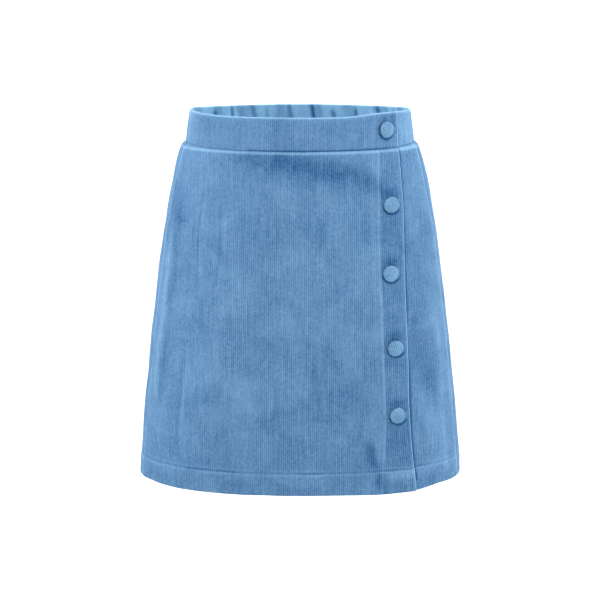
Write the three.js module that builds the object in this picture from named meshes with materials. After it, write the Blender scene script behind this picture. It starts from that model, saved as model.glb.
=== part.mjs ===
// A short A-line corduroy skirt in its worn form: a hollow of separate cloth walls.
// A waistband tops a front that laps over to one side, closed by five covered buttons.
// The back is gathered into its half of the band.
//
// Millimetres, +Z up. The front faces -Y. The origin is the centre of the waist ring,
// at half the waistband's height. A drop is a distance down from the band's top edge,
// and an arc is a distance round the ring from the centre front, positive towards +X.

import * as THREE from 'three';

// Driving sizes
const LENGTH = 430; // band's top edge to the hem
const BAND_HEIGHT = 38;
const CLOTH = 1.6; // one layer
const BAND_CLOTH = 2.8; // the waistband, folded double
const PLACKET_CLOTH = 3; // the placket, folded double
const HEM_CLOTH = 3.2; // the hem, turned up inside
const HEM_DEPTH = 26;
const SEAM_GAP = 0.3;
const SIDE_SEAM_ANGLE = 77; // degrees round from the centre front
const UNDERLAP = 10; // how far the under layer runs in behind the placket's seam
const LAP_END = 124.8; // the arc at which the band's front part ends
const LAP_CLEARANCE = 1; // between the placket and the under panel

// Gathers of the back, the same in the band and in the panel below it
const GATHERS = 28;
const BAND_GATHER = 1.5; // height of a wave in the band
const PANEL_GATHER = 2.1; // height of a wave in the panel, just below the band
const GATHER_FADE = 118; // the drop at which the waves have smoothed out
const FLUTES = 7; // soft waves of the back's lower half
const FLUTE_DEPTH = 2.6;

// The skirt bulges out below the seam that joins it to the band
const SHOULDER = 4.3;
const SHOULDER_HEIGHT = 5;

// Covered buttons
const BUTTON_RADIUS = 9.3;
const BUTTON_HEIGHT = 7; // from the end of its shank to the top of its dome
const BUTTON_SIDES = 18;
const BUTTON_CLEARANCE = 0.9; // between its shank and the bottom of the dimple
const DIMPLE = 0.7; // the button pulls the cloth in this far
const DIMPLE_RADIUS = 9;

// Horizontal sections. half is half the width, front and back are the depths each way
// from the side, and round is the exponent of the superellipse, 2 for an ellipse.
const BAND_SECTIONS = [
  { drop: 0, half: 128.8, front: 94, back: 95, round: 2 },
  { drop: 38, half: 133.4, front: 96.5, back: 98, round: 2 },
];
const SKIRT_SECTIONS = [
  { drop: 38, half: 137.8, front: 100.8, back: 102.4, round: 2 },
  { drop: 60, half: 144.5, front: 103.6, back: 107.5, round: 2.02 },
  { drop: 95, half: 152.2, front: 106.8, back: 114.5, round: 2.05 },
  { drop: 140, half: 160.4, front: 110, back: 121, round: 2.1 },
  { drop: 190, half: 167.4, front: 112.5, back: 124.5, round: 2.12 },
  { drop: 260, half: 176.1, front: 115.5, back: 127, round: 2.15 },
  { drop: 345, half: 185.4, front: 118.3, back: 129.5, round: 2.18 },
  { drop: 430, half: 192.4, front: 120, back: 131, round: 2.2 },
];

// The placket's seam with the front panel, and its free edge
const PLACKET_SEAM = [
  { drop: 38, arc: 93.8 },
  { drop: 140, arc: 91.9 },
  { drop: 260, arc: 96.6 },
  { drop: 350, arc: 99.4 },
  { drop: 430, arc: 96.4 },
];
const PLACKET_EDGE = [
  { drop: 38, arc: 124.4 },
  { drop: 140, arc: 123.8 },
  { drop: 260, arc: 127 },
  { drop: 350, arc: 130.2 },
  { drop: 430, arc: 136.8 },
];

// turn and droop are how far a button leans on its shank, towards the front and down
const BUTTONS = [
  { name: 'button_1', drop: 16.1, arc: 103.2, turn: 0, droop: 0 },
  { name: 'button_2', drop: 99.3, arc: 105.3, turn: 0.3, droop: 0.16 },
  { name: 'button_3', drop: 176.8, arc: 104, turn: 0.32, droop: 0 },
  { name: 'button_4', drop: 262, arc: 109.8, turn: 0.34, droop: 0.14 },
  { name: 'button_5', drop: 339.9, arc: 112.3, turn: 0.32, droop: 0.06 },
];

// Soft folds. Each runs from one place to another, bows by so much towards the hem at
// its middle, and stands out by its height, or sinks in where that is negative.
const FRONT_FOLDS = [
  { name: 'hollow under the band', arc: -18, drop: 46, toArc: 86, toDrop: 82, bow: -5, width: 11, height: -3 },
  { name: 'ridge by the left side', arc: -159, drop: 92, toArc: -189, toDrop: 318, bow: 0, width: 7, height: 1.5 },
  { name: 'left trough', arc: -128, drop: 250, toArc: -150, toDrop: 395, bow: 3, width: 15, height: -1.4 },
  { name: 'pinch above the hem', arc: 74, drop: 372, toArc: 97, toDrop: 424, bow: 0, width: 7, height: -1.8 },
];
const UNDER_FOLDS = [
  { name: 'hollow beside the placket', arc: 137, drop: 232, toArc: 186, toDrop: 362, bow: 6, width: 14, height: -3.4 },
  { name: 'swell at the side', arc: 172, drop: 240, toArc: 200, toDrop: 330, bow: 0, width: 10, height: 1.2 },
];

// The overlap stands off along its free edge, most at its corner, which hangs a little
// low. Beside it the under panel hangs lower too. The band's top rises towards the lap.
const LAP_LIFT = 3;
const CORNER_DROP = 1.8;
const CORNER_LIFT = 2;
const UNDER_DROP = 2.6;
const BAND_RISE = 2.7;

// Rows of points down the skirt. The first three follow the shoulder.
const SKIRT_TOP = BAND_HEIGHT + SEAM_GAP;
const HEM_TOP = LENGTH - HEM_DEPTH;
const ROWS_TO_HIP = [SKIRT_TOP, SKIRT_TOP + 1, SKIRT_TOP + 2.6, SKIRT_TOP + SHOULDER_HEIGHT, 54, 72, 95];
const ROWS_TO_HEM = [125, 160, 205, 250, 295, 335, 372, HEM_TOP, HEM_TOP + 1, LENGTH];

const BLUE = 0x6591bd;
const BLUE_BUTTON = 0x6f9ac6;

function smoothstep(from, to, value) {
  return THREE.MathUtils.smoothstep(value, from, to);
}

// A smooth curve through one column of a table, by its rows' drops
function valueAt(table, column, drop) {
  let i = 0;
  while (i < table.length - 2 && table[i + 1].drop < drop) {
    i += 1;
  }
  const slope = (k) => {
    const above = table[Math.max(k - 1, 0)];
    const below = table[Math.min(k + 1, table.length - 1)];
    return (below[column] - above[column]) / (below.drop - above.drop);
  };
  const height = table[i + 1].drop - table[i].drop;
  const u = (drop - table[i].drop) / height;
  const rise = table[i + 1][column] - table[i][column];
  const start = slope(i) * height;
  const end = slope(i + 1) * height;
  const cubic = start + end - 2 * rise;
  const square = 3 * rise - 2 * start - end;
  return table[i][column] + u * (start + u * (square + u * cubic));
}

// The cloth's form: for an arc and a drop, the point there, which way is out, and which
// way is down along the cloth. A ring is measured in steps of one degree.
function makeForm(sections) {
  const rings = new Map();

  function ring(drop) {
    if (!rings.has(drop)) {
      const power = 2 / valueAt(sections, 'round', drop);
      const points = [];
      const arcs = [0];
      for (let degree = 0; degree <= 360; degree += 1) {
        const sin = Math.sin(THREE.MathUtils.degToRad(degree));
        const cos = Math.cos(THREE.MathUtils.degToRad(degree));
        const depth = cos > 0 ? -valueAt(sections, 'front', drop) : valueAt(sections, 'back', drop);
        const x = valueAt(sections, 'half', drop) * Math.sign(sin) * Math.abs(sin) ** power;
        points.push(new THREE.Vector2(x, depth * Math.abs(cos) ** power));
        if (degree > 0) {
          arcs.push(arcs[degree - 1] + points[degree].distanceTo(points[degree - 1]));
        }
      }
      rings.set(drop, { points, arcs });
    }
    return rings.get(drop);
  }

  function pointAt(arc, drop) {
    const { points, arcs } = ring(drop);
    const whole = arcs[360];
    const along = ((arc % whole) + whole) % whole;
    let degree = 1;
    while (arcs[degree] < along) {
      degree += 1;
    }
    const part = (along - arcs[degree - 1]) / (arcs[degree] - arcs[degree - 1]);
    const flat = points[degree - 1].clone().lerp(points[degree], part);
    return new THREE.Vector3(flat.x, flat.y, BAND_HEIGHT / 2 - drop);
  }

  function frameAt(arc, drop) {
    const across = pointAt(arc + 1, drop).sub(pointAt(arc - 1, drop));
    const down = pointAt(arc, drop + 0.5).sub(pointAt(arc, drop - 0.5));
    const out = new THREE.Vector3().crossVectors(down, across).normalize();
    down.crossVectors(across, out).normalize();
    return { point: pointAt(arc, drop), out, down };
  }

  const arcAt = (degree, drop) => ring(drop).arcs[degree];
  const wholeAt = (drop) => ring(drop).arcs[360];
  return { frameAt, arcAt, wholeAt };
}

const band = makeForm(BAND_SECTIONS);
const skirt = makeForm(SKIRT_SECTIONS);

// Where the pieces end, as functions of the drop
const halfGap = SEAM_GAP / 2;
const rightSide = (form) => (drop) => form.arcAt(SIDE_SEAM_ANGLE, drop) - halfGap;
const leftSide = (form) => (drop) => -form.arcAt(SIDE_SEAM_ANGLE, drop) + halfGap;
const backStart = (form) => (drop) => form.arcAt(SIDE_SEAM_ANGLE, drop) + halfGap;
const backEnd = (form) => (drop) => form.wholeAt(drop) - form.arcAt(SIDE_SEAM_ANGLE, drop) - halfGap;
const placketSeam = (drop) => valueAt(PLACKET_SEAM, 'arc', drop);
const placketEdge = (drop) => valueAt(PLACKET_EDGE, 'arc', drop);

// How far a fold moves the cloth at one place
function foldAt(fold, arc, drop) {
  const run = new THREE.Vector2(fold.toArc - fold.arc, fold.toDrop - fold.drop);
  const length = run.length();
  run.normalize();
  const from = new THREE.Vector2(arc - fold.arc, drop - fold.drop);
  const along = from.dot(run) / length;
  const bowed = fold.bow * 4 * along * (1 - along);
  const aside = run.x * from.y - run.y * from.x - bowed;
  const end = (1.5 * fold.width) / length;
  const ends = smoothstep(-end, end, along) * smoothstep(-end, end, 1 - along);
  return fold.height * ends * Math.exp(-((aside / fold.width) ** 2));
}

function foldsAt(folds, arc, drop) {
  return folds.reduce((sum, fold) => sum + foldAt(fold, arc, drop), 0);
}

// The side seam is a shallow groove, where each panel dips to its edge
function seamDip(form, arc, drop) {
  const away = Math.abs(Math.abs(arc) - form.arcAt(SIDE_SEAM_ANGLE, drop));
  return -0.8 * Math.exp(-((away / 4) ** 2));
}

function dimpleAt(arc, drop) {
  return BUTTONS.reduce((sum, button) => {
    const away = Math.hypot(arc - button.arc, drop - button.drop);
    return sum - DIMPLE * Math.exp(-((away / DIMPLE_RADIUS) ** 2));
  }, 0);
}

// The free corner of the overlap, from 0 to 1
function cornerAt(arc, drop) {
  return smoothstep(345, LENGTH, drop) * smoothstep(96, 139, arc);
}

// The under layer lies behind the overlap and comes out to the form at the side seam
function recess(form, depth, edge) {
  return (arc, drop) => -depth * (1 - smoothstep(edge(drop), form.arcAt(SIDE_SEAM_ANGLE, drop), arc));
}

// The place of a gather's crest k across the back, from 0 to 1, a little uneven
function gatherPlace(k) {
  const even = k / GATHERS;
  return even + 0.006 * Math.sin(2 * Math.PI * 3.3 * even) + 0.0035 * Math.sin(2 * Math.PI * 7.7 * even);
}

function gatherWave(k) {
  const even = k / GATHERS;
  const ends = smoothstep(0, 0.12, even) * smoothstep(0, 0.12, 1 - even);
  return ends * (0.8 + 0.2 * Math.sin(2 * Math.PI * 4.6 * even)) * Math.cos(2 * Math.PI * k);
}

function fluteWave(k, drop) {
  const even = k / GATHERS;
  const ends = smoothstep(0.03, 0.2, even) * smoothstep(0.03, 0.2, 1 - even);
  const bend = 0.6 * Math.sin(2 * Math.PI * 1.7 * even);
  return ends * smoothstep(60, LENGTH, drop) * FLUTE_DEPTH * Math.cos(2 * Math.PI * FLUTES * even + bend);
}

// Triangles between two rows of vertex numbers. The lower row has as many columns as the
// upper one, or half as many.
function strip(triangles, upper, lower) {
  const halved = lower.length < upper.length;
  for (let j = 0; j < lower.length - 1; j += 1) {
    if (halved) {
      triangles.push([upper[2 * j], lower[j], upper[2 * j + 1]]);
      triangles.push([upper[2 * j + 1], lower[j], lower[j + 1]]);
      triangles.push([upper[2 * j + 1], lower[j + 1], upper[2 * j + 2]]);
    } else {
      triangles.push([upper[j], lower[j], lower[j + 1]]);
      triangles.push([upper[j], lower[j + 1], upper[j + 1]]);
    }
  }
}

// One closed wall from its rows of outer and inner points
function wallGeometry(outer, inner) {
  const positions = [];
  const number = (row) => row.map((point) => positions.push(...point.toArray()) / 3 - 1);
  const outside = outer.map(number);
  const inside = inner.map(number);
  const last = outer.length - 1;
  const faces = [];
  const back = [];
  for (let i = 0; i < last; i += 1) {
    strip(faces, outside[i], outside[i + 1]);
    strip(back, inside[i], inside[i + 1]);
  }
  faces.push(...back.map((triangle) => triangle.reverse()));
  strip(faces, inside[0], outside[0]);
  strip(faces, outside[last], inside[last]);
  for (let i = 0; i < last; i += 1) {
    const left = [outside[i + 1][0], outside[i][0], inside[i][0], inside[i + 1][0]];
    const right = [outside[i], outside[i + 1], inside[i + 1], inside[i]].map((row) => row[row.length - 1]);
    for (const [a, b, c, d] of [left, right]) {
      faces.push([a, b, c], [a, c, d]);
    }
  }
  const geometry = new THREE.BufferGeometry();
  geometry.setAttribute('position', new THREE.Float32BufferAttribute(positions, 3));
  geometry.setIndex(faces.flat());
  geometry.computeVertexNormals();
  return geometry;
}

function clothMaterial(colour) {
  return new THREE.MeshStandardMaterial({ color: colour, roughness: 0.95, metalness: 0, flatShading: true });
}

// A wall of cloth between two side edges. Each row gives its drop, how far out its face
// lies, measured level, and the wall's thickness. relief moves both faces along the way
// out of the form, pit only the outer one, and reach moves a place down the cloth.
function clothWall({ name, form, left, right, rows, places, relief, pit, reach }) {
  const outer = [];
  const inner = [];
  rows.forEach((row, i) => {
    const above = rows[Math.max(i - 1, 0)];
    const below = rows[Math.min(i + 1, rows.length - 1)];
    const lean = (below.out - above.out) / (below.drop - above.drop);
    const outerRow = [];
    const innerRow = [];
    const columns = row.halved ? places.filter((_, j) => j % 2 === 0) : places;
    for (const { place, k } of columns) {
      const nominal = THREE.MathUtils.lerp(left(row.drop), right(row.drop), place);
      const drop = row.drop + (reach ? reach(nominal, row.drop) : 0);
      const arc = THREE.MathUtils.lerp(left(drop), right(drop), place);
      const { point, out, down } = form.frameAt(arc, drop);
      const level = new THREE.Vector3(out.x, out.y, 0).normalize();
      const face = point.clone().addScaledVector(level, row.out).addScaledVector(out, relief(arc, drop, k));
      const through = out.clone().addScaledVector(down, -lean).normalize();
      innerRow.push(face.clone().addScaledVector(through, -row.wall));
      outerRow.push(face.addScaledVector(out, pit ? pit(arc, drop) : 0));
    }
    outer.push(outerRow);
    inner.push(innerRow);
  });
  const mesh = new THREE.Mesh(wallGeometry(outer, inner), clothMaterial(BLUE));
  mesh.name = name;
  return mesh;
}

// Column places from 0 to 1 for a plain piece
function evenPlaces(columns) {
  return Array.from({ length: columns + 1 }, (_, j) => ({ place: j / columns, k: 0 }));
}

// Column places of a gathered piece, four to each wave
function gatheredPlaces() {
  const first = gatherPlace(0);
  const span = gatherPlace(GATHERS) - first;
  const columns = 4 * GATHERS;
  return Array.from({ length: columns + 1 }, (_, j) => ({ place: (gatherPlace(j / 4) - first) / span, k: j / 4 }));
}

// The band's rows: a rounded fold at the top, then straight down to its seam
function bandRows() {
  const fold = [
    { drop: 0, out: -0.9, wall: 1 },
    { drop: 0.8, out: -0.25, wall: 2.3 },
    { drop: 2.4, out: 0, wall: BAND_CLOTH },
  ];
  const straight = [BAND_HEIGHT / 2, BAND_HEIGHT];
  return [...fold, ...straight.map((drop) => ({ drop, out: 0, wall: BAND_CLOTH }))];
}

// The skirt's rows: the shoulder under the band's seam, the hips, and the turned-up hem.
// A double piece is pressed down to one layer's thickness at the seam.
function skirtRows(drops, cloth) {
  return drops.map((drop) => {
    const up = Math.max(0, 1 - (drop - SKIRT_TOP) / SHOULDER_HEIGHT);
    const wall = drop > HEM_TOP ? HEM_CLOTH : THREE.MathUtils.lerp(cloth, CLOTH, up);
    return { drop, out: -SHOULDER * up ** 1.7, wall };
  });
}

// The placket has more rows about each button
function placketDrops() {
  const drops = [...ROWS_TO_HIP, ...ROWS_TO_HEM];
  const step = DIMPLE_RADIUS;
  for (const { drop } of BUTTONS.slice(1)) {
    drops.push(drop - 1.5 * step, drop - 0.6 * step, drop + 0.6 * step, drop + 1.5 * step);
  }
  drops.sort((a, b) => a - b);
  return drops;
}

// How far the band's cloth moves up: most at its top, between the centre and the side
function bandReach(arc, drop) {
  const rise = BAND_RISE * smoothstep(45, 95, arc) * (1 - smoothstep(100, 165, arc));
  return -rise * (1 - drop / BAND_HEIGHT);
}

function makeBandPieces() {
  const rows = bandRows();
  const lapRecess = recess(band, BAND_CLOTH + SEAM_GAP, () => LAP_END);
  return [
    clothWall({
      name: 'waistband_front',
      form: band,
      left: leftSide(band),
      right: () => LAP_END,
      rows,
      places: evenPlaces(32),
      relief: (arc, drop) => seamDip(band, arc, drop),
      pit: dimpleAt,
      reach: bandReach,
    }),
    clothWall({
      name: 'waistband_under',
      form: band,
      left: (drop) => placketSeam(drop) - UNDERLAP,
      right: rightSide(band),
      rows,
      places: evenPlaces(10),
      relief: (arc, drop) => seamDip(band, arc, drop) + lapRecess(arc, drop),
      reach: bandReach,
    }),
    clothWall({
      name: 'waistband_back',
      form: band,
      left: backStart(band),
      right: backEnd(band),
      rows,
      places: gatheredPlaces(),
      relief: (arc, drop, k) => BAND_GATHER * gatherWave(k),
    }),
  ];
}

function frontRelief(arc, drop) {
  const aside = smoothstep(placketSeam(drop) - 10, placketEdge(drop), arc);
  const lift = LAP_LIFT * aside * smoothstep(45, 110, drop) + CORNER_LIFT * cornerAt(arc, drop);
  return seamDip(skirt, arc, drop) + foldsAt(FRONT_FOLDS, arc, drop) + lift;
}

function makeFrontPieces() {
  const rows = skirtRows([...ROWS_TO_HIP, ...ROWS_TO_HEM], CLOTH);
  const lapRecess = recess(skirt, HEM_CLOTH + LAP_CLEARANCE, placketEdge);
  const hang = (arc, drop) => CORNER_DROP * cornerAt(arc, drop);
  const underRelief = (arc, drop) => {
    const behind = 1 - smoothstep(placketSeam(drop), placketEdge(drop), arc);
    const own = lapRecess(arc, drop) + foldsAt(UNDER_FOLDS, arc, drop);
    return seamDip(skirt, arc, drop) + own + behind * foldsAt(FRONT_FOLDS, arc, drop);
  };
  const hangBeside = (arc, drop) => {
    const edge = placketEdge(drop);
    const beside = smoothstep(edge - 22, edge, arc) * (1 - smoothstep(edge, skirt.arcAt(SIDE_SEAM_ANGLE, drop), arc));
    return UNDER_DROP * beside * smoothstep(HEM_TOP - 60, LENGTH, drop);
  };
  return [
    clothWall({
      name: 'front_panel',
      form: skirt,
      left: leftSide(skirt),
      right: (drop) => placketSeam(drop) - halfGap,
      rows,
      places: evenPlaces(30),
      relief: frontRelief,
      reach: hang,
    }),
    clothWall({
      name: 'placket',
      form: skirt,
      left: (drop) => placketSeam(drop) + halfGap,
      right: placketEdge,
      rows: skirtRows(placketDrops(), PLACKET_CLOTH),
      places: evenPlaces(5),
      relief: frontRelief,
      pit: dimpleAt,
      reach: hang,
    }),
    clothWall({
      name: 'under_panel',
      form: skirt,
      left: (drop) => placketSeam(drop) - UNDERLAP,
      right: rightSide(skirt),
      rows,
      places: evenPlaces(13),
      relief: underRelief,
      reach: hangBeside,
    }),
  ];
}

function makeBackPanel() {
  const gathered = skirtRows(ROWS_TO_HIP, CLOTH);
  const plain = skirtRows(ROWS_TO_HEM, CLOTH).map((row) => ({ ...row, halved: true }));
  return clothWall({
    name: 'back_panel',
    form: skirt,
    left: backStart(skirt),
    right: backEnd(skirt),
    rows: [...gathered, ...plain],
    places: gatheredPlaces(),
    relief: (arc, drop, k) => {
      const height = PANEL_GATHER * (1 - smoothstep(BAND_HEIGHT, GATHER_FADE, drop));
      const whole = skirt.wholeAt(drop);
      return height * gatherWave(k) + fluteWave(k, drop) + seamDip(skirt, arc < whole / 2 ? arc : whole - arc, drop);
    },
  });
}

// A domed cap with a rolled rim, on a short shank, turned about its own upright axis
function buttonGeometry() {
  const shank = 2.2;
  const plate = 2.8; // the underside's height over the shank's end
  const rim = 1.3; // the rim's radius
  const profile = [new THREE.Vector2(0, 0), new THREE.Vector2(shank, 0), new THREE.Vector2(shank, plate)];
  for (let degree = -90; degree <= 30; degree += 40) {
    const turn = THREE.MathUtils.degToRad(degree);
    const radius = BUTTON_RADIUS - rim + rim * Math.cos(turn);
    profile.push(new THREE.Vector2(radius, plate + rim + rim * Math.sin(turn)));
  }
  const shoulder = profile[profile.length - 1];
  for (let degree = 60; degree >= 0; degree -= 20) {
    const turn = THREE.MathUtils.degToRad(degree);
    const height = shoulder.y + (BUTTON_HEIGHT - shoulder.y) * Math.cos(turn) ** 1.3;
    profile.push(new THREE.Vector2(degree === 0 ? 0 : shoulder.x * Math.sin(turn), height));
  }
  return new THREE.LatheGeometry(profile, BUTTON_SIDES);
}

// Each button's shank stands just clear of the cloth. Its axis points out of the form,
// but leans as the button does.
function makeButtons() {
  const geometry = buttonGeometry();
  const up = new THREE.Vector3(0, 1, 0);
  return BUTTONS.map(({ name, arc, drop, turn, droop }) => {
    const form = drop < BAND_HEIGHT ? band : skirt;
    const { point, out } = form.frameAt(arc, drop);
    const folds = form === skirt ? frontRelief(arc, drop) : 0;
    const mesh = new THREE.Mesh(geometry, clothMaterial(BLUE_BUTTON));
    mesh.name = name;
    mesh.position.copy(point).addScaledVector(out, folds + dimpleAt(arc, drop) + BUTTON_CLEARANCE);
    const axis = out.clone().add(new THREE.Vector3(0, -turn, -droop)).normalize();
    mesh.quaternion.setFromUnitVectors(up, axis);
    return mesh;
  });
}

const waistband = new THREE.Group();
waistband.add(...makeBandPieces());
const body = new THREE.Group();
body.add(...makeFrontPieces(), makeBackPanel());
const buttons = new THREE.Group();
buttons.add(...makeButtons());

const garment = new THREE.Group();
garment.add(waistband, body, buttons);

export default garment;
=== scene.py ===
# %% [markdown]
# # A corduroy skirt, as it hangs when worn
#
# The skirt is short and A-line. Its front laps over to one side and closes with five
# covered buttons, and its back is gathered into an elastic waistband. Nobody is inside,
# so the cloth keeps a hollow, worn form.
#
# Every piece of cloth here is a thin closed wall. We work out its outer face as a grid
# of points with numpy, push the corduroy's ribs out of that grid as real geometry, add
# an inner face, and close the edges. The first lines load the frame that all the pieces
# share: metres, +Z up, the skirt's front towards -Y.

# %% Load the frame
import math

import bpy
import numpy as np
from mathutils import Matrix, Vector


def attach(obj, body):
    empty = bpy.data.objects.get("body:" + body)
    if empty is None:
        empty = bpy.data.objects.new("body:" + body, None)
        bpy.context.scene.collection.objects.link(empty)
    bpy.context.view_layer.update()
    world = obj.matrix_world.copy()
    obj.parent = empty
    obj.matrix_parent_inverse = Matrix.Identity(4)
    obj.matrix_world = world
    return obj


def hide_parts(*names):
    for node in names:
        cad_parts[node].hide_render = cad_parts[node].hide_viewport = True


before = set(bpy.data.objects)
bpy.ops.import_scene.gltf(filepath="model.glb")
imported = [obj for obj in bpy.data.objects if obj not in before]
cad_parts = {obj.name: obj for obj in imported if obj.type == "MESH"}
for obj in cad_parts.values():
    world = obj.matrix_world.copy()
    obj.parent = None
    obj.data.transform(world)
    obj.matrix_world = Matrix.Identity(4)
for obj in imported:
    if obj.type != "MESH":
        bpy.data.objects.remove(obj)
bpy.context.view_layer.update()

print("nodes in the frame:", sorted(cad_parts))

# %% [markdown]
# ## The sizes of the skirt
#
# A pattern cutter starts from a few measures: the length, the waistband's height, the
# thickness of the cloth. All of them are in millimetres, because a tailor's numbers are
# easy to check that way, and they turn into metres once, when a mesh is made. A drop is
# a distance down from the waistband's top edge. An arc is a distance round the skirt
# from the centre front, positive towards +X.

# %% Sizes in millimetres
MM = 0.001
LENGTH, BAND_HEIGHT = 430.0, 38.0
CLOTH, BAND_CLOTH, PLACKET_CLOTH, HEM_CLOTH = 1.6, 2.8, 3.0, 3.2
HEM_TOP, HEM_STITCHES = 404.0, 404.6
SEAM_BITE = 0.1
SKIRT_TOP = BAND_HEIGHT - SEAM_BITE
SIDE_SEAM_ANGLE = 77.0
UNDERLAP, LAP_END = 10.0, 124.8
LAP_CLEARANCE, BAND_CLEARANCE = 1.0, 0.3
SHOULDER, SHOULDER_HEIGHT = 4.3, 5.0
# how far the overlap stands off, how far the hem hangs down and the waist rises
LAP_LIFT, CORNER_LIFT = 3.0, 2.0
FRONT_SAG, LAP_SAG, UNDER_SAG = 1.1, 1.7, 3.6
BAND_RISE, SIDE_RISE = 2.7, 2.8

# %% [markdown]
# ## The form under the cloth
#
# Seen from above, a worn skirt is nearly an ellipse, a little squarer towards the hem.
# A superellipse covers both: its exponent is 2 for an ellipse and grows as the sides
# flatten. Two short tables give the sections of the band and of the skirt, and a smooth
# curve runs through each of their columns.

# %% Sections and seam lines
# drop, half width, depth in front, depth behind, exponent
BAND_SECTIONS = (
    (0, 128.8, 94, 95, 2),
    (38, 133.4, 96.5, 98, 2),
)
SKIRT_SECTIONS = (
    (38, 137.8, 100.8, 102.4, 2),
    (60, 144.5, 103.6, 107.5, 2.02),
    (95, 152.2, 106.8, 114.5, 2.05),
    (140, 160.4, 110, 121, 2.1),
    (190, 167.4, 112.5, 124.5, 2.12),
    (260, 176.1, 115.5, 127, 2.15),
    (345, 185.4, 118.3, 129.5, 2.18),
    (430, 192.4, 120, 131, 2.2),
)
# drop, arc
PLACKET_SEAM = ((38, 93.8), (140, 91.9), (260, 96.6), (350, 99.4), (430, 96.4))
PLACKET_EDGE = ((38, 124.4), (140, 123.8), (260, 127), (350, 130.2), (430, 136.8))


def curve_through(table, column, drop):
    """One column of a table, read at many drops at once.

    Between two rows the curve is the cubic that has, at each row, the slope from the
    row above to the row below.
    """
    rows = np.array(table, float)
    at, value = rows[:, 0], rows[:, column]
    ahead = np.append(np.arange(1, len(at)), len(at) - 1)
    behind = np.insert(np.arange(len(at) - 1), 0, 0)
    slope = (value[ahead] - value[behind]) / (at[ahead] - at[behind])
    i = np.clip(np.searchsorted(at, drop) - 1, 0, len(at) - 2)
    height = at[i + 1] - at[i]
    u = (drop - at[i]) / height
    rise = value[i + 1] - value[i]
    start, end = slope[i] * height, slope[i + 1] * height
    return value[i] + u * (start + u * (3 * rise - 2 * start - end + u * (start + end - 2 * rise)))


def placket_seam(drop):
    return curve_through(PLACKET_SEAM, 1, drop)


def placket_edge(drop):
    return curve_through(PLACKET_EDGE, 1, drop)


def under_edge(drop):
    """The hidden left edge of the pieces beneath the overlap."""
    return placket_seam(drop) - UNDERLAP


# %% [markdown]
# Cloth is measured along its surface, but a superellipse is drawn by an angle. So each
# form first measures its rings, and keeps a table that turns an arc into an angle. With
# it, a column of points can stay the same distance from the centre front all the way
# down, as a thread does.

# %% The form as a surface
class Form:
    def __init__(self, sections):
        self.sections = sections
        first, last = sections[0][0] - 3, sections[-1][0] + 6
        self.drops = np.linspace(first, last, int(last - first) + 1)
        self.turns = np.radians(np.linspace(0, 360, 1441))
        rings = self.ring(self.turns[None, :], self.drops[:, None])
        steps = np.linalg.norm(np.diff(rings, axis=1), axis=2)
        self.arcs = np.concatenate([np.zeros((len(steps), 1)), np.cumsum(steps, axis=1)], axis=1)
        shares = np.linspace(0, 1, 2881)
        self.angles = np.stack([np.interp(shares * a[-1], a, self.turns) for a in self.arcs])

    def ring(self, turn, drop):
        """x is the half width times sin to the power 2 over the exponent, and y is the
        depth times cos to that power, each with its sign."""
        half, front, back, exponent = (curve_through(self.sections, k, drop) for k in (1, 2, 3, 4))
        sin, cos = np.sin(turn), np.cos(turn)
        x = half * np.sign(sin) * np.abs(sin) ** (2 / exponent)
        y = np.where(cos > 0, -front, back) * np.abs(cos) ** (2 / exponent)
        return np.stack([x, y, np.broadcast_to(BAND_HEIGHT / 2 - drop, x.shape)], axis=-1)

    def whole(self, drop):
        """The length of the whole ring."""
        return np.interp(drop, self.drops, self.arcs[:, -1])

    def arc_at(self, degrees, drop):
        """The arc from the centre front to an angle."""
        column = int(round(degrees * 4))
        return np.interp(drop, self.drops, self.arcs[:, column])

    def place(self, arc, drop):
        """The point at an arc and a drop: the angle is read from the table, between its
        four nearest entries, and the ring gives the point."""
        share = np.mod(arc / self.whole(drop), 1.0) * (self.angles.shape[1] - 1)
        level = np.clip(drop - self.drops[0], 0, len(self.drops) - 1.001)
        i, j = level.astype(int), np.minimum(share.astype(int), self.angles.shape[1] - 2)
        v, u = level - i, share - j
        above = self.angles[i, j] * (1 - u) + self.angles[i, j + 1] * u
        below = self.angles[i + 1, j] * (1 - u) + self.angles[i + 1, j + 1] * u
        return self.ring(above * (1 - v) + below * v, drop)

    def frame_at(self, arc, drop):
        """The point, which way is out of the cloth, and which way is down along it."""
        across = self.place(arc + 1, drop) - self.place(arc - 1, drop)
        down = self.place(arc, drop + 0.5) - self.place(arc, drop - 0.5)
        out = unit(np.cross(down, across))
        return self.place(arc, drop), out, unit(np.cross(across, out))


def unit(vector):
    return vector / np.linalg.norm(vector, axis=-1, keepdims=True)


def smoothstep(low, high, value):
    """0 below low, 1 above high, and an S-curve with level ends between them."""
    t = np.clip((value - low) / (high - low), 0, 1)
    return t * t * (3 - 2 * t)


def bell(distance, width):
    """1 in the middle, falling to 0.37 at one width from it and to nothing beyond two."""
    return np.exp(-((distance / width) ** 2))


band = Form(BAND_SECTIONS)
skirt = Form(SKIRT_SECTIONS)
for title, form, drop in (("waist", band, 0), ("hip", skirt, 190), ("hem", skirt, LENGTH)):
    print(title, "is", round(float(form.whole(drop))), "mm round")

# %% [markdown]
# ## Folds, dimples and gathers
#
# Heavy corduroy falls in a few soft folds. Each is listed: a line from one place to
# another, a width, and a height that is negative for a hollow. The real cloth is also
# dented where a button is sewn on, and dips into every seam.

# %% Folds placed one by one
# name, arc, drop, to arc, to drop, bow, width, height
FRONT_FOLDS = (
    ("hollow under the band", -18, 46, 86, 82, -5, 11, -3.0),
    ("ridge by the left side", -159, 92, -189, 318, 0, 7, 1.5),
    ("left trough", -128, 250, -150, 395, 3, 15, -1.4),
    ("pinch above the hem", 74, 372, 97, 424, 0, 7, -1.8),
)
UNDER_FOLDS = (
    ("hollow beside the placket", 137, 232, 186, 362, 6, 14, -3.4),
    ("swell at the side", 172, 240, 200, 330, 0, 10, 1.2),
)
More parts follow.
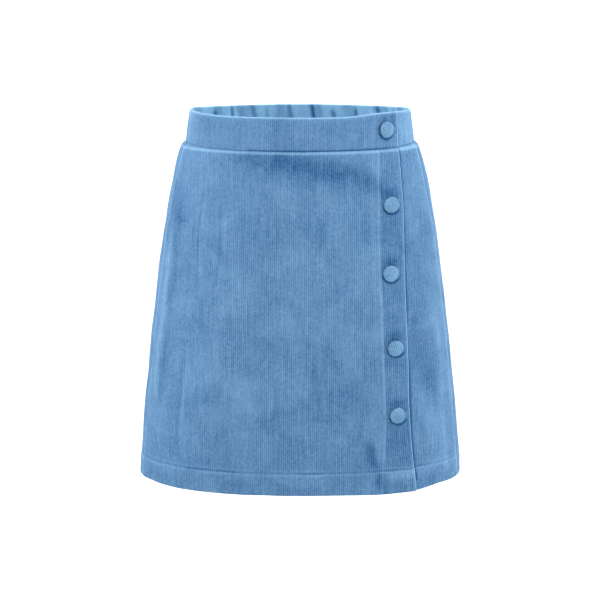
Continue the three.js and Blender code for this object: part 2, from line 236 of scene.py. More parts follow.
# name of the node, arc, drop, lean to the front, lean down, turn of its cloth in degrees
BUTTONS = (
    ("button_1", 103.2, 16.1, 0.2, 0, 35),
    ("button_2", 105.3, 99.3, 0.3, 0.16, 4),
    ("button_3", 104, 176.8, 0.32, 0, -42),
    ("button_4", 109.8, 262, 0.34, 0.14, 18),
    ("button_5", 112.3, 339.9, 0.32, 0.06, 52),
)
DIMPLE, DIMPLE_RADIUS = 0.7, 9.0
SEAM_DEPTH, SEAM_WIDTH = 0.5, 4.0
# how wide the waist's rise is at the sides, and the drop where it ends
SIDE_WIDTH, SIDE_FADE = 55.0, 150.0
# the drops and the arcs over which the overlap and its corner come to stand off
LAP_DROPS, CORNER_DROPS, CORNER_ARCS = (45, 110), (345, LENGTH), (96, 139)


def folds_at(folds, arc, drop):
    """The sum of the folds at each place.

    A fold is its height times a bell curve of the distance aside from its line, which
    bows as a parabola, times an S-curve that fades it in and out at its two ends.
    """
    total = 0.0
    for _, from_arc, from_drop, to_arc, to_drop, bow, width, height in folds:
        length = math.hypot(to_arc - from_arc, to_drop - from_drop)
        run = ((to_arc - from_arc) / length, (to_drop - from_drop) / length)
        side, fall = arc - from_arc, drop - from_drop
        along = (side * run[0] + fall * run[1]) / length
        aside = run[0] * fall - run[1] * side - bow * 4 * along * (1 - along)
        end = 1.5 * width / length
        ends = smoothstep(-end, end, along) * smoothstep(-end, end, 1 - along)
        total = total + height * ends * bell(aside, width)
    return total


def dimples_at(arc, drop):
    """A bell-shaped pit under each button."""
    return -DIMPLE * sum(bell(np.hypot(arc - at[1], drop - at[2]), DIMPLE_RADIUS) for at in BUTTONS)


def seam_dip(form, arc, drop):
    """The panels dip to the side seam in a shallow bell-shaped groove."""
    away = np.abs(np.abs(arc) - form.arc_at(SIDE_SEAM_ANGLE, drop))
    return -SEAM_DEPTH * bell(away, SEAM_WIDTH)


def side_rise(form, arc, drop):
    """At both sides the waist is held a little higher: a wide bell curve round the
    outermost place, which fades out by the hip."""
    whole = form.whole(drop)
    round_arc = np.where(np.abs(arc) < whole / 2, np.abs(arc), whole - np.abs(arc))
    away = round_arc - form.arc_at(90, drop)
    return -SIDE_RISE * bell(away, SIDE_WIDTH) * (1 - smoothstep(BAND_HEIGHT, SIDE_FADE, drop))


def lap_lift(arc, drop):
    """The overlap stands off more and more towards its free edge, and most of all at
    its corner by the hem."""
    aside = smoothstep(placket_seam(drop) - 10, placket_edge(drop), arc)
    corner = smoothstep(*CORNER_DROPS, drop) * smoothstep(*CORNER_ARCS, arc)
    return LAP_LIFT * aside * smoothstep(*LAP_DROPS, drop) + CORNER_LIFT * corner


def recess(form, depth, edge, arc, drop):
    """The under layer lies behind the overlap and comes out level at the side seam."""
    return -depth * (1 - smoothstep(edge, form.arc_at(SIDE_SEAM_ANGLE, drop), arc))


# %% [markdown]
# Elastic draws the back into narrow upright folds. They stand close and sharp towards
# the outside and lie wide and flat inside, and no two are alike, so their places and
# heights wander a little. Below the hips they have smoothed out into a few soft flutes.

# %% Gathers and flutes of the back
GATHERS = 28
BAND_GATHER, PANEL_GATHER, GATHER_FADE = 1.5, 2.1, 118.0
FLUTES, FLUTE_DEPTH = 7, 2.6


def gather_count(share):
    """How many waves lie before a share of the way across the back. The crests lie
    evenly, plus two slow sines."""
    k = np.linspace(0, GATHERS, 40 * GATHERS + 1)
    even = k / GATHERS
    wander = 0.006 * np.sin(2 * np.pi * 3.3 * even) + 0.0035 * np.sin(2 * np.pi * 7.7 * even)
    place = even + wander
    return np.interp(share, (place - place[0]) / (place[-1] - place[0]), k)


def gather_wave(k):
    """A cosine of the count, with a second one of twice its pace that narrows the
    crests, fading at both side seams and uneven in height."""
    even = k / GATHERS
    ends = smoothstep(0, 0.12, even) * smoothstep(0, 0.12, 1 - even)
    uneven = 0.8 + 0.2 * np.sin(2 * np.pi * 4.6 * even)
    return ends * uneven * (0.85 * np.cos(2 * np.pi * k) + 0.25 * np.cos(4 * np.pi * k))


def flute_wave(k, drop):
    """A slow cosine across the back that grows towards the hem."""
    even = k / GATHERS
    ends = smoothstep(0.03, 0.2, even) * smoothstep(0.03, 0.2, 1 - even)
    bend = 0.6 * np.sin(2 * np.pi * 1.7 * even)
    return ends * smoothstep(60, LENGTH, drop) * FLUTE_DEPTH * np.cos(2 * np.pi * FLUTES * even + bend)


# %% [markdown]
# ## Corduroy as geometry
#
# Corduroy has ribs of cut pile, the wales, with narrow valleys between them. This one
# has about eleven wales to the inch. They could be bump, but then they would vanish at
# the edges and be missing from the mesh. So four columns of points follow each wale: one
# in the valley, two on its shoulders and one on its crest.

# %% Wales
WALE = 2.38
WALE_DEPTH = 0.38
WALE_COLUMNS = (0.0, 0.22, 0.5, 0.78)


def wale_height(across):
    """Minus the depth, times the fifth power of a cosine that peaks in each valley."""
    return -WALE_DEPTH * np.abs(np.cos(np.pi * across / WALE)) ** 5


def wale_columns(low, high):
    """The columns of all the wales between two distances across the cloth."""
    wales = np.arange(math.floor(low / WALE), math.ceil(high / WALE) + 1)
    return (wales[:, None] + np.array(WALE_COLUMNS)).ravel() * WALE


# %% [markdown]
# ## A piece of cloth and how it lies
#
# A cloth piece is cut out of a form by its two side edges. It is moved out of the form
# by its folds, and near the band it steps in to the seam, as a shoulder does. The hem
# hangs a little lower at the free corner of the overlap, where its own weight pulls it.
# Slow, small swells run over all of it, since no worn cloth lies quite smooth.

# %% How the face of a cloth piece lies
LEVEL = np.array([1.0, 1.0, 0.0])
# across, along, phase, height
SWELLS = (
    (74, 190, 0.3, 0.22),
    (-52, 118, 1.9, 0.20),
    (39, -150, 4.1, 0.16),
    (-131, 61, 2.6, 0.18),
    (31, 83, 5.2, 0.10),
)


def swells_at(arc, drop):
    """A sum of sines that cross each other at different slants."""
    total = 0.0
    for across, along, phase, height in SWELLS:
        total = total + height * np.sin(2 * np.pi * (arc / across + drop / along) + phase)
    return total * smoothstep(SKIRT_TOP, 75, drop)


def shoulder_at(drop):
    """How far the skirt lies inside its form under the band: a power of the height."""
    up = np.clip(1 - (drop - SKIRT_TOP) / SHOULDER_HEIGHT, 0, 1)
    return -SHOULDER * up**1.7


def flat_at(drop):
    return np.zeros_like(drop)


class Cloth:
    """A piece cut out of a form between two edges, with its relief, the pits under its
    buttons and how far its own weight lets it reach down."""

    def __init__(self, name, form, left, right, relief, pit=None, reach=None):
        self.name, self.form = name, form
        self.left, self.right = left, right
        self.relief, self.pit, self.reach = relief, pit, reach
        self.profile = flat_at if form is band else shoulder_at

    def share(self, arc, drop):
        """How far across the piece an arc lies, from 0 to 1."""
        left = self.left(drop)
        return (arc - left) / (self.right(drop) - left)

    def lay(self, arc, drop):
        """Where the cloth's face is, which way goes out through the cloth, and the arc
        and drop that it really has there, raised at the sides and let down by reach."""
        given = drop
        share = self.share(arc, drop)
        drop = drop + side_rise(self.form, arc, drop) + (self.reach(arc, drop) if self.reach else 0)
        arc = self.left(drop) + share * (self.right(drop) - self.left(drop))
        point, out, down = self.form.frame_at(arc, drop)
        profile = self.profile(given)
        lean = (self.profile(given + 0.4) - self.profile(given - 0.4)) / 0.8
        face = point + unit(out * LEVEL) * profile[..., None]
        face = face + out * self.relief(arc, drop, share)[..., None]
        return face, unit(out - down * lean[..., None]), arc, drop


# %% [markdown]
# ## One wall of cloth
#
# Every piece is made by the same function. Each row of its grid lies at one drop. The
# columns follow the wales, and where a wale runs into a slanting seam its points pile
# up on the seam and become one point, so the seam cuts the wales as scissors do. The
# inner face has fewer columns where it is plain. Near each edge the two faces curve
# towards each other, as a folded or sewn edge does.

# %% Columns along the wales
EDGE_STEPS = (0.0, 0.15, 0.45, 1.0)


# How far the outer and the inner face curve in at an edge. At a seam, only the outside
# dips, and a seam that is pressed flat hardly does. At a fold, both faces turn.
SEWN, PRESSED, GROOVE, FOLDED = (0.8, 0.0), (0.25, 0.0), (0.2, 0.0), (1.4, 1.4)
EDGE_WIDTH = 1.4


def edge_round(distance, radius):
    """A quarter circle: how far a face has curved in at a distance from its edge."""
    short = np.clip(radius - distance, 0, radius)
    return radius - np.sqrt(np.maximum(radius**2 - short**2, 0))


def wall_columns(left, right, origin, squeeze):
    """Arcs, distances across the cloth and column numbers of a grid along the grain.

    A column that a side edge cuts off lies on the last whole column beside that edge,
    and has that column's number.
    """
    low = ((left - origin) / squeeze).min()
    high = ((right - origin) / squeeze).max()
    inside = origin[:, None] + wale_columns(low, high)[None, :] * squeeze[:, None]
    edge = np.array(EDGE_STEPS) * EDGE_WIDTH
    first, last = left[:, None] + edge, right[:, None] - edge[::-1]
    arc = np.concatenate([first, np.clip(inside, first[:, -1:], last[:, :1]), last], axis=1)
    column = np.tile(np.arange(arc.shape[1]), (len(left), 1))
    middle = column[:, len(edge) : -len(edge)]
    middle[inside <= first[:, -1:]] = len(edge) - 1
    middle[inside >= last[:, :1]] = arc.shape[1] - len(edge)
    return arc, (arc - origin[:, None]) / squeeze[:, None], column


# %% Faces of a wall
def face_triangles(number):
    """Two triangles in each cell of a grid of point numbers."""
    a, b, c, d = number[:-1, :-1], number[1:, :-1], number[1:, 1:], number[:-1, 1:]
    return np.concatenate([np.stack(t, axis=-1).reshape(-1, 3) for t in ((a, b, c), (a, c, d))])


def closed(number):
    """The same grid with its first column again at its end, so that it runs round."""
    return np.concatenate([number, number[:, :1]], axis=1)


def has_area(faces):
    """Which triangles have three different points."""
    a, b, c = faces.T
    return (a != b) & (b != c) & (c != a)


def rim_triangles(outer, inner, partner):
    """Triangles between two rows of point numbers, where partner gives, for each place
    in the outer row, the place in the inner row that it is joined to."""
    a, b = outer[:-1], outer[1:]
    c, d = inner[partner[:-1]], inner[partner[1:]]
    return np.concatenate([np.stack([a, b, c], axis=-1), np.stack([b, d, c], axis=-1)])


def wall_faces(column, kept):
    """All triangles of a closed wall, and 1 for each that lies on its inner face.

    The outer grid has every column and the inner one only the kept columns. Triangles
    with no area, where columns were cut off, are left out.
    """
    rows, columns = column.shape
    place_of = np.zeros(columns, int)
    place_of[kept] = np.arange(len(kept))
    outside = column + np.arange(rows)[:, None] * columns
    inside = rows * columns + place_of[column[:, kept]] + np.arange(rows)[:, None] * len(kept)
    partner = np.searchsorted(kept, np.arange(columns), side="right") - 1
    down = np.arange(rows)
    faces = [
        face_triangles(outside),
        rim_triangles(outside[-1], inside[-1], partner)[:, ::-1],
        rim_triangles(outside[0], inside[0], partner),
        rim_triangles(outside[:, 0], inside[:, 0], down)[:, ::-1],
        rim_triangles(outside[:, -1], inside[:, -1], down),
        face_triangles(inside)[:, ::-1],
    ]
    inner_face = np.repeat([0, 0, 0, 0, 0, 1], [len(part) for part in faces])
    faces = np.concatenate(faces)
    whole = has_area(faces)
    return faces[whole], inner_face[whole]


def make_piece(name, points, faces, cloth=(0, 0), pile=1.0, painted_shading=0.0, material_index=0):
    """A mesh object in metres, with the cloth's own coordinates, its pile and its painted light and shade.

    Points that no triangle uses are left out.
    """
    used, faces = np.unique(faces, return_inverse=True)
    faces = faces.reshape(-1, 3)
    mesh = bpy.data.meshes.new(name)
    mesh.from_pydata(points[used] * MM, [], faces)
    mesh.polygons.foreach_set("material_index", np.zeros(len(faces), int) + material_index)
    mesh.polygons.foreach_set("use_smooth", np.ones(len(faces), bool))
    place = (np.zeros((len(points), 2)) + cloth)[used][faces] * MM
    mesh.uv_layers.new(name="cloth").data.foreach_set("uv", place.ravel())
    # the painted light and shade go to the material as a point attribute
    for kind, value in (("pile", pile), ("painted_shading", painted_shading)):
        value = (np.zeros(len(points)) + value)[used]
        mesh.attributes.new(kind, "FLOAT", "POINT").data.foreach_set("value", value)
    mesh.update()
    piece = bpy.data.objects.new(name, mesh)
    bpy.context.scene.collection.objects.link(piece)
    print(name, "has", len(faces), "triangles")
    return piece


# %% [markdown]
# The wall puts these together. Its outer face is the cloth's own face with the ribs cut
# into it, and its inner face lies a thickness further in. A band or a placket is folded
# double, so the ribs show on both of its faces. A single layer has a plain back.

# %% From a cloth piece to a closed wall
# how strong and how wide the painted highlight along a folded edge is
FOLD_HIGHLIGHT, FOLD_HIGHLIGHT_WIDTH = 1.2, 1.7
# the ribs' height at an edge, how far in they are whole, and the most an edge turns in
RIB_AT_EDGE, EDGE_FADE, CURL_LIMIT = 0.3, 2.0, 0.46


def plain_grain(drops):
    """The wales run straight down from the waist."""
    return np.zeros_like(drops), np.ones_like(drops)


def curl_at(distances, edges, face):
    """The deepest of the roundings of the four edges, for one face."""
    return np.max([edge_round(away, edge[face]) for away, edge in zip(distances, edges)], axis=0)


def pale_at_folds(distances, edges):
    """A painted highlight along a folded edge, where the pile also stands open: a bell curve of
    the distance to the nearest folded edge. The hem's fold is pressed, and stays out."""
    folded = [distances[k] for k in (0, 2, 3) if edges[k] == FOLDED]
    return FOLD_HIGHLIGHT * bell(np.min(folded, axis=0), FOLD_HIGHLIGHT_WIDTH) if folded else 0.0


def thickness(cloth, drops, double):
    """The band has the same all over. A panel has one layer at its seam, its own below
    the shoulder, and twice the cloth at the turned-up hem."""
    if cloth.form is band:
        return np.full(drops.shape, BAND_CLOTH)
    own = PLACKET_CLOTH if double else CLOTH
    wall = CLOTH + (own - CLOTH) * smoothstep(SKIRT_TOP, SKIRT_TOP + SHOULDER_HEIGHT, drops)
    return wall + (HEM_CLOTH - wall) * smoothstep(HEM_TOP, HEM_TOP + 1, drops)


def evenly(arc, drop):
    return np.zeros(arc.shape)


def make_wall(cloth, drops, edges, painted_shading, grain=plain_grain, double=False, inside_painted_shading=evenly):
    """edges says how the top, bottom, left and right edges are finished. The two shading
    functions, for the outer and the inner face, take the arc and the drop and give the
    painted light and shade, from -1 for painted shade to 1 for painted light. A single
    layer's back and the inside of the band take the second of the piece's materials."""
    left, right = cloth.left(drops)[:, None], cloth.right(drops)[:, None]
    arc, across, column = wall_columns(left[:, 0], right[:, 0], *grain(drops))
    given = np.broadcast_to(drops[:, None], arc.shape)
    distances = (given - drops[0], drops[-1] - given, arc - left, right - arc)
    near = np.min([distances[0], distances[2], distances[3]], axis=0)
    fade = np.clip(near / EDGE_FADE, 0, 1)
    face, through, arc, drop = cloth.lay(arc, given)
    ribs = wale_height(across) * (RIB_AT_EDGE + (1 - RIB_AT_EDGE) * fade)
    thick = thickness(cloth, drops, double)[:, None]
    pit = cloth.pit(arc, drop) if cloth.pit else 0
    curl, back_curl = (np.minimum(curl_at(distances, edges, k), CURL_LIMIT * thick) for k in (0, 1))
    outer = face + through * (ribs - curl + pit)[..., None]
    inner = face + through * (back_curl - thick - (ribs if double else 0))[..., None]
    edge = len(EDGE_STEPS)
    kept = np.arange(arc.shape[1])
    if not double:
        kept = np.concatenate([kept[:edge], kept[edge:-edge:len(WALE_COLUMNS)], kept[-edge:]])
    faces, inner_face = wall_faces(column, kept)

    def joined(outside, inside):
        """One list of the outer grid's values and those of the inner face's columns."""
        return np.concatenate([part.reshape(-1, *part.shape[2:]) for part in (outside, inside[:, kept])])

    pile = 1 + ribs / WALE_DEPTH
    # painted light and shade from the marks, and a painted highlight along folded edges
    painted = painted_shading(arc, drop) + pale_at_folds(distances, edges)
    place = np.stack([across, given], axis=-1)
    return make_piece(
        cloth.name + "_cloth", joined(outer, inner), faces, joined(place, place), joined(pile, pile),
        joined(painted, inside_painted_shading(arc, drop)), inner_face * (cloth.form is band or not double),
    )


# %% [markdown]
# ## Finishes
#
# Corduroy is cotton with a cut pile. The tufts stand up along each rib and swallow light
# when you look straight at them, and they catch it at a glancing angle, so the garment's
# rims look paler than its front. That is what the shader's sheen does. The valleys are
# painted darker, partly as the cloth's darker ground and partly as painted shade. Where a
# hand or a fold has brushed the nap another way, large soft blotches stay behind. Each
# piece also brings its own painted light and shade, as a point attribute.

# %% Colours, and helpers for nodes
def linear(hex_colour):
    """An sRGB hex colour in linear light: ((c + 0.055) / 1.055) to the power 2.4."""
    channels = np.array([int(hex_colour[i : i + 2], 16) for i in (1, 3, 5)]) / 255
    light = np.where(channels > 0.04045, ((channels + 0.055) / 1.055) ** 2.4, channels / 12.92)
    return (*light.tolist(), 1.0)


def add(tree, kind, settings=None, **inputs):
    """Adds a node. An input is given by its name, with _ for a space, or as i0, i1 and
    so on by its number. It is a value, a socket, or a node, whose first output is used."""
    made = tree.nodes.new("ShaderNode" + kind)
    for name, value in (settings or {}).items():
        setattr(made, name, value)
    for name, value in inputs.items():
        socket = made.inputs[int(name[1:]) if name[1:].isdigit() else name.replace("_", " ")]
        source = value.outputs[0] if isinstance(value, bpy.types.Node) else value
        if isinstance(source, bpy.types.NodeSocket):
            tree.links.new(source, socket)
        else:
            socket.default_value = source
    return made


def calculate(tree, operation, *values, clamp=False):
    """Adds a Math node."""
    numbered = {"i" + str(k): value for k, value in enumerate(values)}
    return add(tree, "Math", {"operation": operation, "use_clamp": clamp}, **numbered)


def add_surface(tree, **inputs):
    """Adds the surface shader and the material's output."""
    add(tree, "OutputMaterial", Surface=add(tree, "BsdfPrincipled", **inputs))


def new_material(name):
    material = bpy.data.materials.new(name)
    material.use_nodes = True
    tree = material.node_tree
    tree.nodes.clear()
    return material, tree


# %% Corduroy, cut-pile cotton
# the tone of plain pile, and how much the painted light and shade and the valleys' painted shade change it
PLAIN_TONE, SHADING_TONE, VALLEY_SHADE_TONE = 0.455, 0.5, -0.22
BLOTCH_TONE, WALE_TONE, RUFFLE_TONE, TUFT_TONE = 0.56, 0.38, 0.66, 0.38


def corduroy(name, darkest, palest):
    """The two colours are the cloth's darkest and palest tones; painted light and shade, the valleys'
    painted shade and random blotches mix between them.
    """
    material, tree = new_material(name)
    place = add(tree, "TexCoord").outputs["Object"]
    cloth = add(tree, "UVMap", {"uv_map": "cloth"})
    pile = add(tree, "Attribute", {"attribute_name": "pile"}).outputs["Fac"]
    painted_shading = add(tree, "Attribute", {"attribute_name": "painted_shading"}).outputs["Fac"]
    # blotches of brushed nap, 15 to 60 mm across
    blotch = add(tree, "TexNoise", Vector=place, Scale=24.0, Detail=5.0, Roughness=0.6, Distortion=0.7)
    # each wale differs a little from the next, in stretches 50 mm long
    wale_way = add(tree, "Mapping", Vector=cloth, Scale=(1000 / WALE, 20.0, 1.0))
    wale = add(tree, "TexNoise", Vector=wale_way, Scale=1.0, Detail=2.0, Roughness=0.6)
    # ruffled pile, 3 mm across
    ruffle = add(tree, "TexNoise", Vector=place, Scale=330.0, Detail=3.0, Roughness=0.75)
    # tufts, 0.6 mm across and stretched along the wale
    tuft_way = add(tree, "Mapping", Vector=cloth, Scale=(1700.0, 1100.0, 1.0))
    tuft = add(tree, "TexNoise", Vector=tuft_way, Scale=1.0, Detail=2.0, Roughness=0.7)
    # painted light and shade from the piece's point attribute
    light = calculate(tree, "MULTIPLY_ADD", painted_shading, SHADING_TONE, PLAIN_TONE)
    tones = ((blotch, BLOTCH_TONE), (wale, WALE_TONE), (ruffle, RUFFLE_TONE), (tuft, TUFT_TONE))
    for texture, strength in tones:
        centred = calculate(tree, "SUBTRACT", texture, 0.5)
        light = calculate(tree, "MULTIPLY_ADD", centred, strength, light)
    # painted shade in the valleys, partly the darker ground of the cloth
    valley_shade = add(tree, "MapRange", Value=pile, To_Min=VALLEY_SHADE_TONE, To_Max=0.0)
    light = calculate(tree, "ADD", light, valley_shade, clamp=True)
    colour = add(
        tree, "Mix", {"data_type": "RGBA"},
        i0=light, i6=linear(darkest), i7=linear(palest),
    )
    bump = add(tree, "Bump", Height=ruffle, Strength=0.35, Distance=0.0012)
    bump = add(tree, "Bump", Height=tuft, Strength=0.5, Distance=0.0004, Normal=bump)
    add_surface(
        tree, Base_Color=colour.outputs[2], Normal=bump, Roughness=0.9, IOR=1.45,
        Specular_IOR_Level=0.2, Sheen_Weight=0.7, Sheen_Roughness=0.3, Sheen_Tint=linear("#b6d3ea"),
    )
    return material


blue_corduroy = corduroy("cotton_corduroy", "#245685", "#86b2d8")
# a paler copy of the cloth for the inside of the band: painted light, which lifts the shaded inside to the
# brightness of the front
corduroy_painted_paler = corduroy("cotton_corduroy_painted_paler", "#3c76a8", "#9ed3f4")
button_corduroy = corduroy("cotton_corduroy_over_buttons", "#3c6c97", "#94bfe0")

# %% [markdown]
# The back of corduroy is a flat plain weave. Its threads are about half a millimetre
# apart, too fine to show here, so they are drawn twice as coarse. Sewing thread is
# polyester or cotton, twisted and a touch shinier than the cloth.

# %% Plain woven back and sewing thread
def woven_back():
    material, tree = new_material("cotton_plain_weave")
    cloth = add(tree, "UVMap", {"uv_map": "cloth"})
    # a wave texture repeats every 0.314 of its scaled coordinate, here every 1 mm
    waves = [
        add(tree, "TexWave", {"bands_direction": way}, Vector=cloth, Scale=314.0, Distortion=0.6)
        for way in ("X", "Y")
    ]
    weave = calculate(tree, "MAXIMUM", *(wave.outputs["Fac"] for wave in waves))
    uneven = add(tree, "TexNoise", Vector=add(tree, "TexCoord").outputs["Object"], Scale=40.0, Detail=4.0)
    shade = calculate(tree, "MULTIPLY_ADD", uneven, 0.3, 0.7)
    shade = calculate(tree, "MULTIPLY_ADD", weave, 0.2, shade)
    colour = add(tree, "HueSaturation", Color=linear("#6f97bf"), Value=shade)
    bump = add(tree, "Bump", Height=weave, Strength=0.6, Distance=0.0003)
    add_surface(
        tree, Base_Color=colour, Normal=bump, Roughness=0.85, Sheen_Weight=0.15, Sheen_Roughness=0.5
    )
    return material


def sewing_thread():
    material, tree = new_material("polyester_thread")
    twist = add(tree, "TexNoise", Vector=add(tree, "TexCoord").outputs["Object"], Scale=2600.0, Detail=1.0)
    shade = calculate(tree, "MULTIPLY_ADD", twist, 0.5, 0.75)
    colour = add(tree, "HueSaturation", Color=linear("#6d9ccb"), Value=shade)
    bump = add(tree, "Bump", Height=twist, Strength=0.5, Distance=0.0002)
    add_surface(tree, Base_Color=colour, Normal=bump, Roughness=0.55)
    return material


plain_back = woven_back()
thread = sewing_thread()
finishes = (blue_corduroy, corduroy_painted_paler, button_corduroy, plain_back, thread)
print("finishes:", *(material.name for material in finishes))

# %% [markdown]
# ## The waistband
#
# The band is folded over at its top edge. Its front is two flat pieces, one lapped over
# the other. Its back has elastic inside, so the cloth is longer than the body and
# stands in gathers.

# %% Rows and edges that the band's pieces share
def band_rows(number):
    """Drops of the rows, close together at both edges and evenly between them."""
    return np.concatenate([[0, 0.1, 0.35, 0.8, 1.4, 2.5], np.linspace(5.5, 34, number), [36, 37, 37.6, 38]])


def side_edges(form):
    """The left and right edges of the front, and the start and the end of the back, as
    functions of the drop. They bite into one another a little at the side seams."""
    bite = SEAM_BITE / 2

    def seam(drop):
        return form.arc_at(SIDE_SEAM_ANGLE, drop)

    return (
        lambda drop: -seam(drop) - bite,
        lambda drop: seam(drop) + bite,
        lambda drop: seam(drop) - bite,
        lambda drop: form.whole(drop) - seam(drop) + bite,
    )


def finish_cloth(piece, node, materials):
    """Gives a piece its materials, attaches it to the root and hides the frame's own part of that name."""
    for material in materials:
        piece.data.materials.append(material)
    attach(piece, "root")
    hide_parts(node)


# %% The band's three pieces
def band_reach(arc, drop):
    """The band's top edge rises a little towards the lap."""
    rise = BAND_RISE * smoothstep(45, 95, arc) * (1 - smoothstep(105, 169, arc))
    return -rise * (1 - drop / BAND_HEIGHT)


def band_relief(arc, drop, share):
    """The firm band dips a third as far into its side seams as the panels do."""
    return 0.3 * seam_dip(band, arc, drop)


def band_under_relief(arc, drop, share):
    behind = recess(band, BAND_CLOTH + BAND_CLEARANCE, LAP_END, arc, drop)
    return band_relief(arc, drop, share) + behind


def band_gathers(arc, drop, share):
    """The elastic's gathers are flatter at the fold along the top."""
    return BAND_GATHER * (0.2 + 0.8 * smoothstep(0, 18, drop)) * gather_wave(gather_count(share))


left_edge, right_edge, back_start, back_end = side_edges(band)
band_front = Cloth(
    "waistband_front", band, left_edge, lambda drop: np.full_like(drop, LAP_END), band_relief,
    pit=dimples_at, reach=band_reach,
)
band_under = Cloth(
    "waistband_under", band, under_edge, right_edge, band_under_relief, reach=band_reach
)
band_back = Cloth("waistband_back", band, back_start, back_end, band_gathers)


def band_back_grain(drops):
    """The gathered cloth's wales lie closer along the arc than on flat cloth."""
    return band.whole(drops) / 2, np.full_like(drops, 1 / 1.2)


# %% The band's painted light and shade, and its walls
# name, arc, drop, to arc, to drop, bow, width, painted light or shade
BAND_SHADING = (
    ("shade above the seam", -60, 37.4, 119, 37.4, 0, 1.0, -0.8),
    ("shade before the lap's end", 117, -16, 117, 24, 0, 5, -0.45),
    ("pale left end", -163, -30, -163, 68, 0, 26, 0.22),
)
# the same for the under band: painted light at its right end
BAND_UNDER_SHADING = (("pale right end", 150, -30, 150, 68, 0, 24, 0.4),)
# how far the painted shadow beside a button is shifted aside and down, and its half axes
CRESCENT_SHIFT, CRESCENT_SIZE = (2.8, 1.2), (11.2, 9.9)
# how dark the painted shadow below a button and the painted shade above it are
CRESCENT_SHADOW, ABOVE_BUTTON_SHADE = -1.9, -0.4


def pressed_by_buttons(arc, drop):
    """Painted shade round each button, below 0 for dark: a crescent of painted shadow on the
    lower side, or nearly a ring on the firm band, and painted shade above, where the cloth
    dips."""
    total = 0.0
    for _, button_arc, button_drop, *_ in BUTTONS:
        aside, below = arc - button_arc - CRESCENT_SHIFT[0], drop - button_drop - CRESCENT_SHIFT[1]
        away = np.hypot(aside / CRESCENT_SIZE[0], below / CRESCENT_SIZE[1])
        downward = (0.96 * below - 0.2 * aside) / np.maximum(away * CRESCENT_SIZE[1], 1)
        start = -1.3 if button_drop < BAND_HEIGHT else 0.1
        lower = smoothstep(start, start + 0.6, downward)
        total = total + CRESCENT_SHADOW * lower * bell(away - 0.98, 0.08)
        total = total + ABOVE_BUTTON_SHADE * bell(aside + 2, 11) * bell(below + 14, 7)
    return total


def band_front_nap(arc, drop):
    # painted light and shade on the band, with the painted shadows of the buttons
    return folds_at(BAND_SHADING, arc, drop) + pressed_by_buttons(arc, drop)


def band_under_nap(arc, drop):
    # painted light at the right end and along the bottom edge, over the shade of the seam
    return folds_at(BAND_UNDER_SHADING, arc, drop) + 0.8 * bell(drop - 37.6, 1.3)


def gathered_nap(arc, drop):
    """Outside, a painted highlight on the crests of the gathers and painted shade in their
    valleys, and a painted highlight on the ends by the side seams."""
    left, right = band_back.left(drop), band_back.right(drop)
    ends = 0.5 * bell(np.minimum(arc - left, right - arc), 9)
    return ends + 0.45 * gather_wave(gather_count(band_back.share(arc, drop)))


def gathered_nap_inside(arc, drop):
    """Inside, painted light lies on wide folds between narrow creases of painted shade that
    slant a little. Some are deep and some hardly show, and each starts at its own height.
    The inside as a whole is lifted pale, as painted light."""
    count = gather_count(band_back.share(arc, drop)) + 0.014 * (drop - 8)
    nearest = np.round(count)
    deep = smoothstep(-0.5, 0.9, np.sin(2.9 * nearest + 1.0))
    start = -2 + 4 * np.sin(2.4 * nearest)
    crease = deep * bell(count - nearest, 0.2) * smoothstep(start, start + 9, drop)
    shade = smoothstep(-0.4, 1.0, np.sin(2.1 * count) + 0.4 * np.sin(5.3 * count + 0.1 * drop))
    return 1.1 - 1.5 * crease - 0.7 * shade


fine_rows, coarse_rows = band_rows(29), band_rows(12)
front_band = make_wall(
    band_front, fine_rows, (FOLDED, PRESSED, PRESSED, FOLDED), band_front_nap, double=True
)
under_band = make_wall(
    band_under, coarse_rows, (FOLDED, PRESSED, FOLDED, PRESSED), band_under_nap, double=True
)
back_band = make_wall(
    band_back, coarse_rows, (FOLDED, SEWN, PRESSED, PRESSED), gathered_nap, band_back_grain,
    double=True, inside_painted_shading=gathered_nap_inside,
)
middle = BAND_HEIGHT / 2
for piece, cloth, held, more in (
    (front_band, band_front, "folded", 1.0),
    (under_band, band_under, "folded", 1.0),
    (back_band, band_back, "gathered", 1.25),
):
    width = float(cloth.right(np.array([middle]))[0] - cloth.left(np.array([middle]))[0]) * more
    # the inside of the band takes the paler copy, which is painted light
    finish_cloth(piece, cloth.name, (blue_corduroy, corduroy_painted_paler))
    print(piece.name, "is", round(width), "mm long")

# %% [markdown]
# ## The skirt's panels
#
# The front has three pieces: the panel, the double strip sewn to it that carries the
# buttons, and the panel beneath. The wales of that strip run along its free edge, so
# they meet the front panel's wales at a small angle. Rows lie close together where the
# cloth turns, at the shoulder, the hem stitching and the hem's fold, and further apart
# between them.

# %% Rows of the skirt's panels
def skirt_rows(step):
    """Drops of the rows. step is their distance down the middle of the panel."""
    shoulder = [SKIRT_TOP, 38.3, 38.7, 39.3, 40, 41, 42, 43.3, 45, 48, 52]
    top, end = 52, 395
    middle = np.linspace(top + step, end, int((end - top - step) / step))
    hem = [398, 400, 401.5, 402.5, 403.3, 404, 404.6, 405.4, 406.5, 408, 411, 415, 420, 424]
    fold = [427, 428.5, 429.3, 429.75, 430]
    return np.concatenate([shoulder, middle, hem, fold])


# %% Relief that the panels share
def stitched(arc):
    """Where the hem stitches pull hard, from 0 to 1: two sines that meet unevenly."""
    return smoothstep(-0.6, 1.1, np.sin(arc / 19 + 0.8) + 0.6 * np.sin(arc / 7.3))


